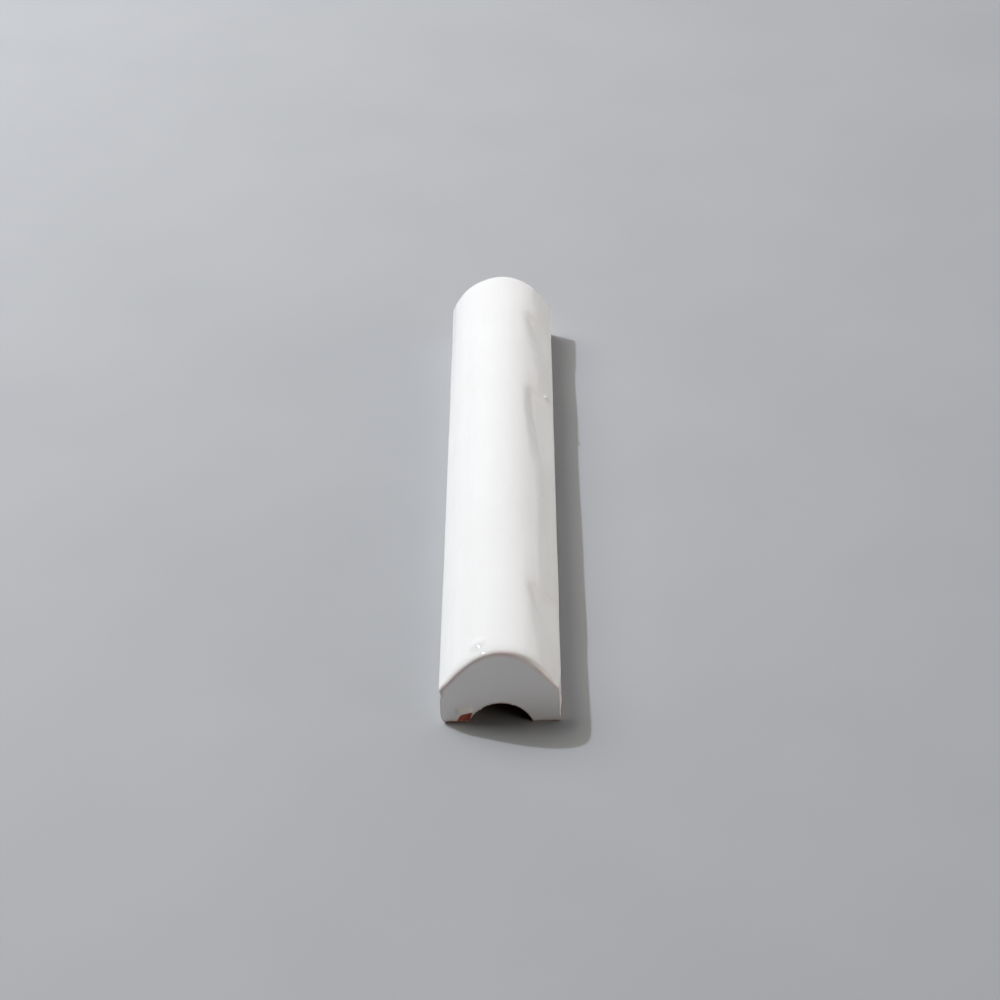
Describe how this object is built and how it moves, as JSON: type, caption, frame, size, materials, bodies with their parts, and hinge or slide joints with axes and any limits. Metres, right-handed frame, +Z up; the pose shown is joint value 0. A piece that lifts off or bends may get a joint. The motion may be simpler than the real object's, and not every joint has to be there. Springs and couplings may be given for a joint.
{
  "type": "domed trim tile",
  "caption": "Long glazed clay trim tile with a domed face, short upright sides and an open bedding channel between two flat feet.",
  "frame": {"origin": "centre of the underside, level with the flat feet", "axes": "+Y along the tile, +X across it, +Z up through the crest of the dome"},
  "size_m": [0.03, 0.2, 0.021],
  "materials": {
    "glazed_clay": "gloss"
  },
  "bodies": {
    "root": {"trim_tile": "glazed_clay"}
  },
  "joints": []
}
